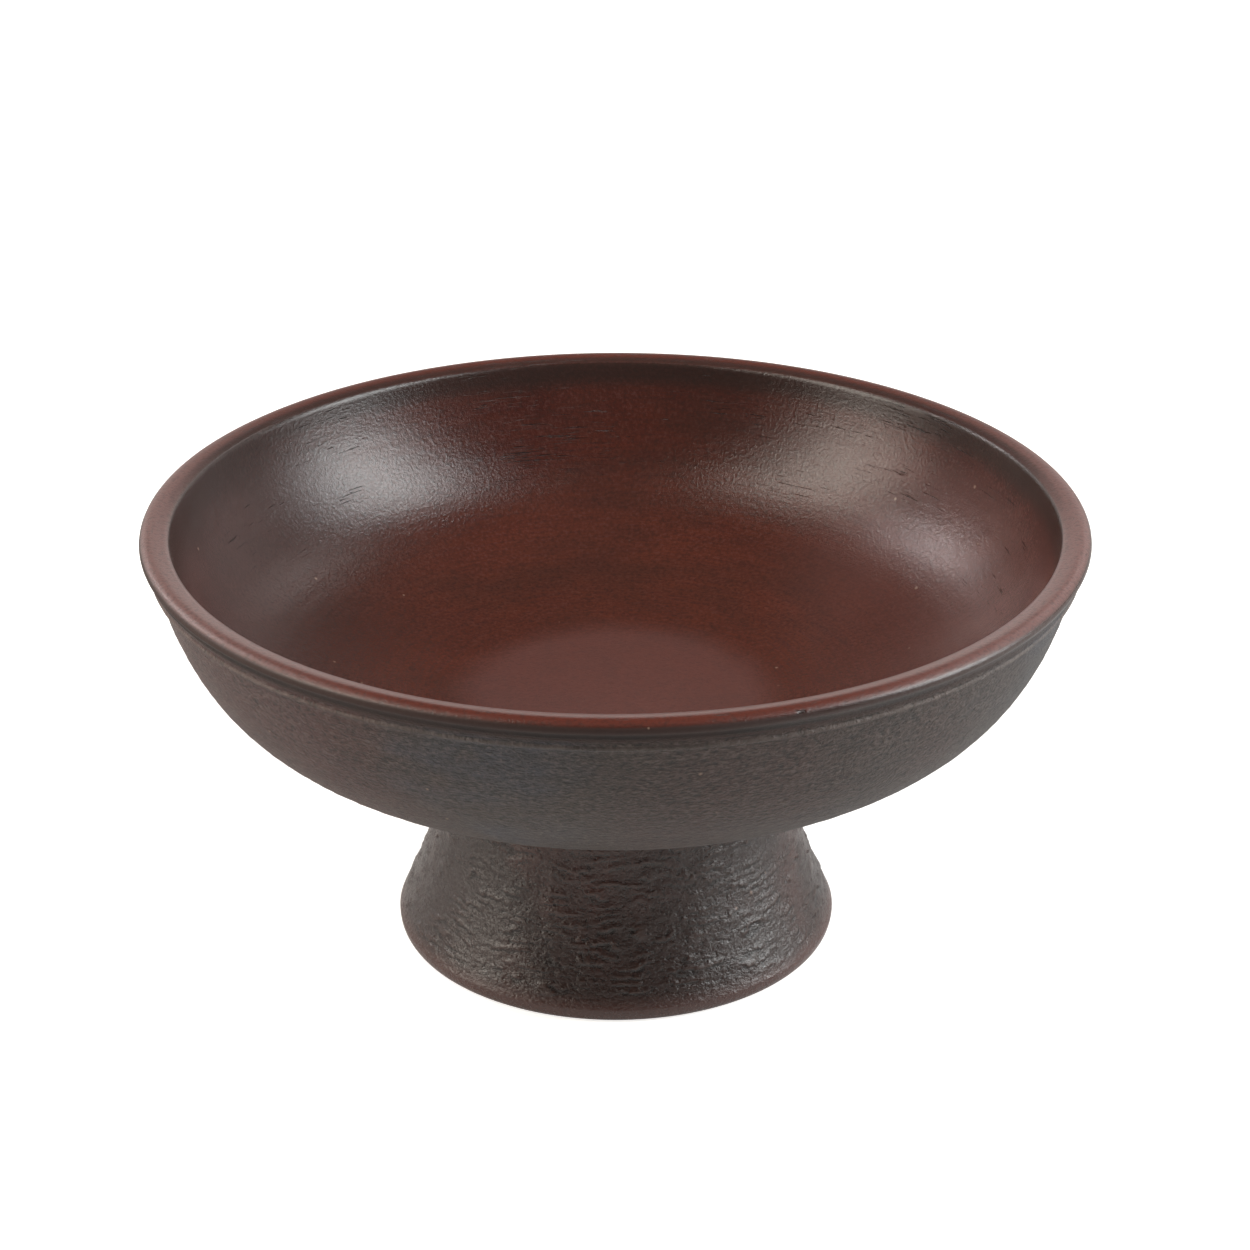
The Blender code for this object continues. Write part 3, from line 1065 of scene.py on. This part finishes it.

# %% [markdown]
# ## Clay of the foot
#
# The foot is the same clay with its skin torn. A mask painted by hand would have to follow every
# scale. The relief attribute already does: it says where a ridge stands up, which hands rub smoother
# and which is painted paler as a painted highlight, and where a crack goes down, which is painted
# darker as painted shade.

# %% Foot clay
def foot_clay():
    material, tree, shader = new_clay("coarse_smoked_clay")
    relief = add(tree, "ShaderNodeAttribute", attribute_name="relief").outputs["Fac"]
    place = add(tree, "ShaderNodeTexCoord").outputs["Object"]
    height = radius_and_height(tree, place)[1]
    skin = use(tree, SHAGREEN, Around=44.0, Lean=FOOT_LEAN)
    grain = use(tree, GRAIN)
    haze = use(tree, SMOKE, Amount=0.62)
    flecks = use(tree, SPECKS)

    colour = coats(
        tree,
        blend(tree, haze["Mask"], FOOT_RED, FOOT_SMOKED),
        # Painted highlight: the ridges of the torn skin are painted paler.
        (between(tree, relief, 0.10 * MM, 0.45 * MM, 0.0, 0.35), ASH_BROWN),
        (between(tree, skin["Height"], 0.48, 0.34, 0.0, 0.6), BLACK),
        # Painted shade: the cracks under the ridges are painted darker.
        (between(tree, relief, -0.05 * MM, -0.25 * MM, 0.0, 0.6), BLACK),
        (between(tree, height, 9.0 * MM, 3.0 * MM, 0.0, 0.42), RUSTY_BROWN),
        (product(tree, flecks["Mask"], 0.5), PALE),
    )
    feed(tree, shader.inputs["Base Color"], colour)
    polish = between(tree, relief, 0.05 * MM, 0.35 * MM, 0.0, 0.08)
    matt = between(tree, grain["Coarse"], 0.2, 0.8, 0.17, 0.31)
    feed(tree, shader.inputs["Roughness"], sum_of(tree, "SUBTRACT", matt, polish))
    shader.inputs["IOR"].default_value = 1.55
    bumps(tree, shader, (skin["Height"], 0.75, 0.5 * MM), (grain["Height"], 0.65, 0.22 * MM))
    return material


COARSE_CLAY = foot_clay()
print(COARSE_CLAY.name, "has", len(COARSE_CLAY.node_tree.nodes), "nodes")

# %% [markdown]
# ## Clay of the joint
#
# Slip and coil were put on wet and never turned or rubbed, so they are the plainest clay: one damp
# colour under smoke, matt, with a little grain. They are hardly seen, so one function makes both.

# %% Joint clay
def joint_clay(name, damp, matt):
    """Clay that was added wet and never turned: smoke over it, and nothing rubbed or torn."""
    material, tree, shader = new_clay(name)
    grain = use(tree, GRAIN)
    lines = use(tree, LINES)
    haze = use(tree, SMOKE, Amount=0.5)
    feed(tree, shader.inputs["Base Color"], blend(tree, haze["Mask"], damp, SMOKED))
    roughness = between(tree, grain["Coarse"], 0.2, 0.8, matt, matt + 0.15)
    feed(tree, shader.inputs["Roughness"], roughness)
    bumps(tree, shader, (lines["Height"], 0.2, 0.2 * MM), (grain["Height"], 0.5, 0.25 * MM))
    return material


LUTING_SLIP = joint_clay("luting_slip", DAMP_SLIP, 0.6)
PRESSED_CLAY = joint_clay("pressed_clay", DAMP_COIL, 0.65)
print("joint clays:", LUTING_SLIP.name, PRESSED_CLAY.name)

# %% [markdown]
# ## Dress the pieces
#
# Each piece gets its clay, stands in for its piece of the engineering model, and rides on the one
# rigid body. Nothing on a bowl moves, so there is only the root.

# %% Dress the pieces
def dress(piece, node, material):
    """Give a piece its clay, stand it in for its CAD node, and let it ride on the one body."""
    piece.data.materials.clear()
    piece.data.materials.append(material)
    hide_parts(node)
    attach(piece, "root")


dress(bowl, "bowl", SMOKED_CLAY)
dress(foot, "foot", COARSE_CLAY)
dress(slip, "joint_slip", LUTING_SLIP)
dress(coil, "joint_coil", PRESSED_CLAY)
print("dressed:", bowl.name, foot.name, slip.name, coil.name)
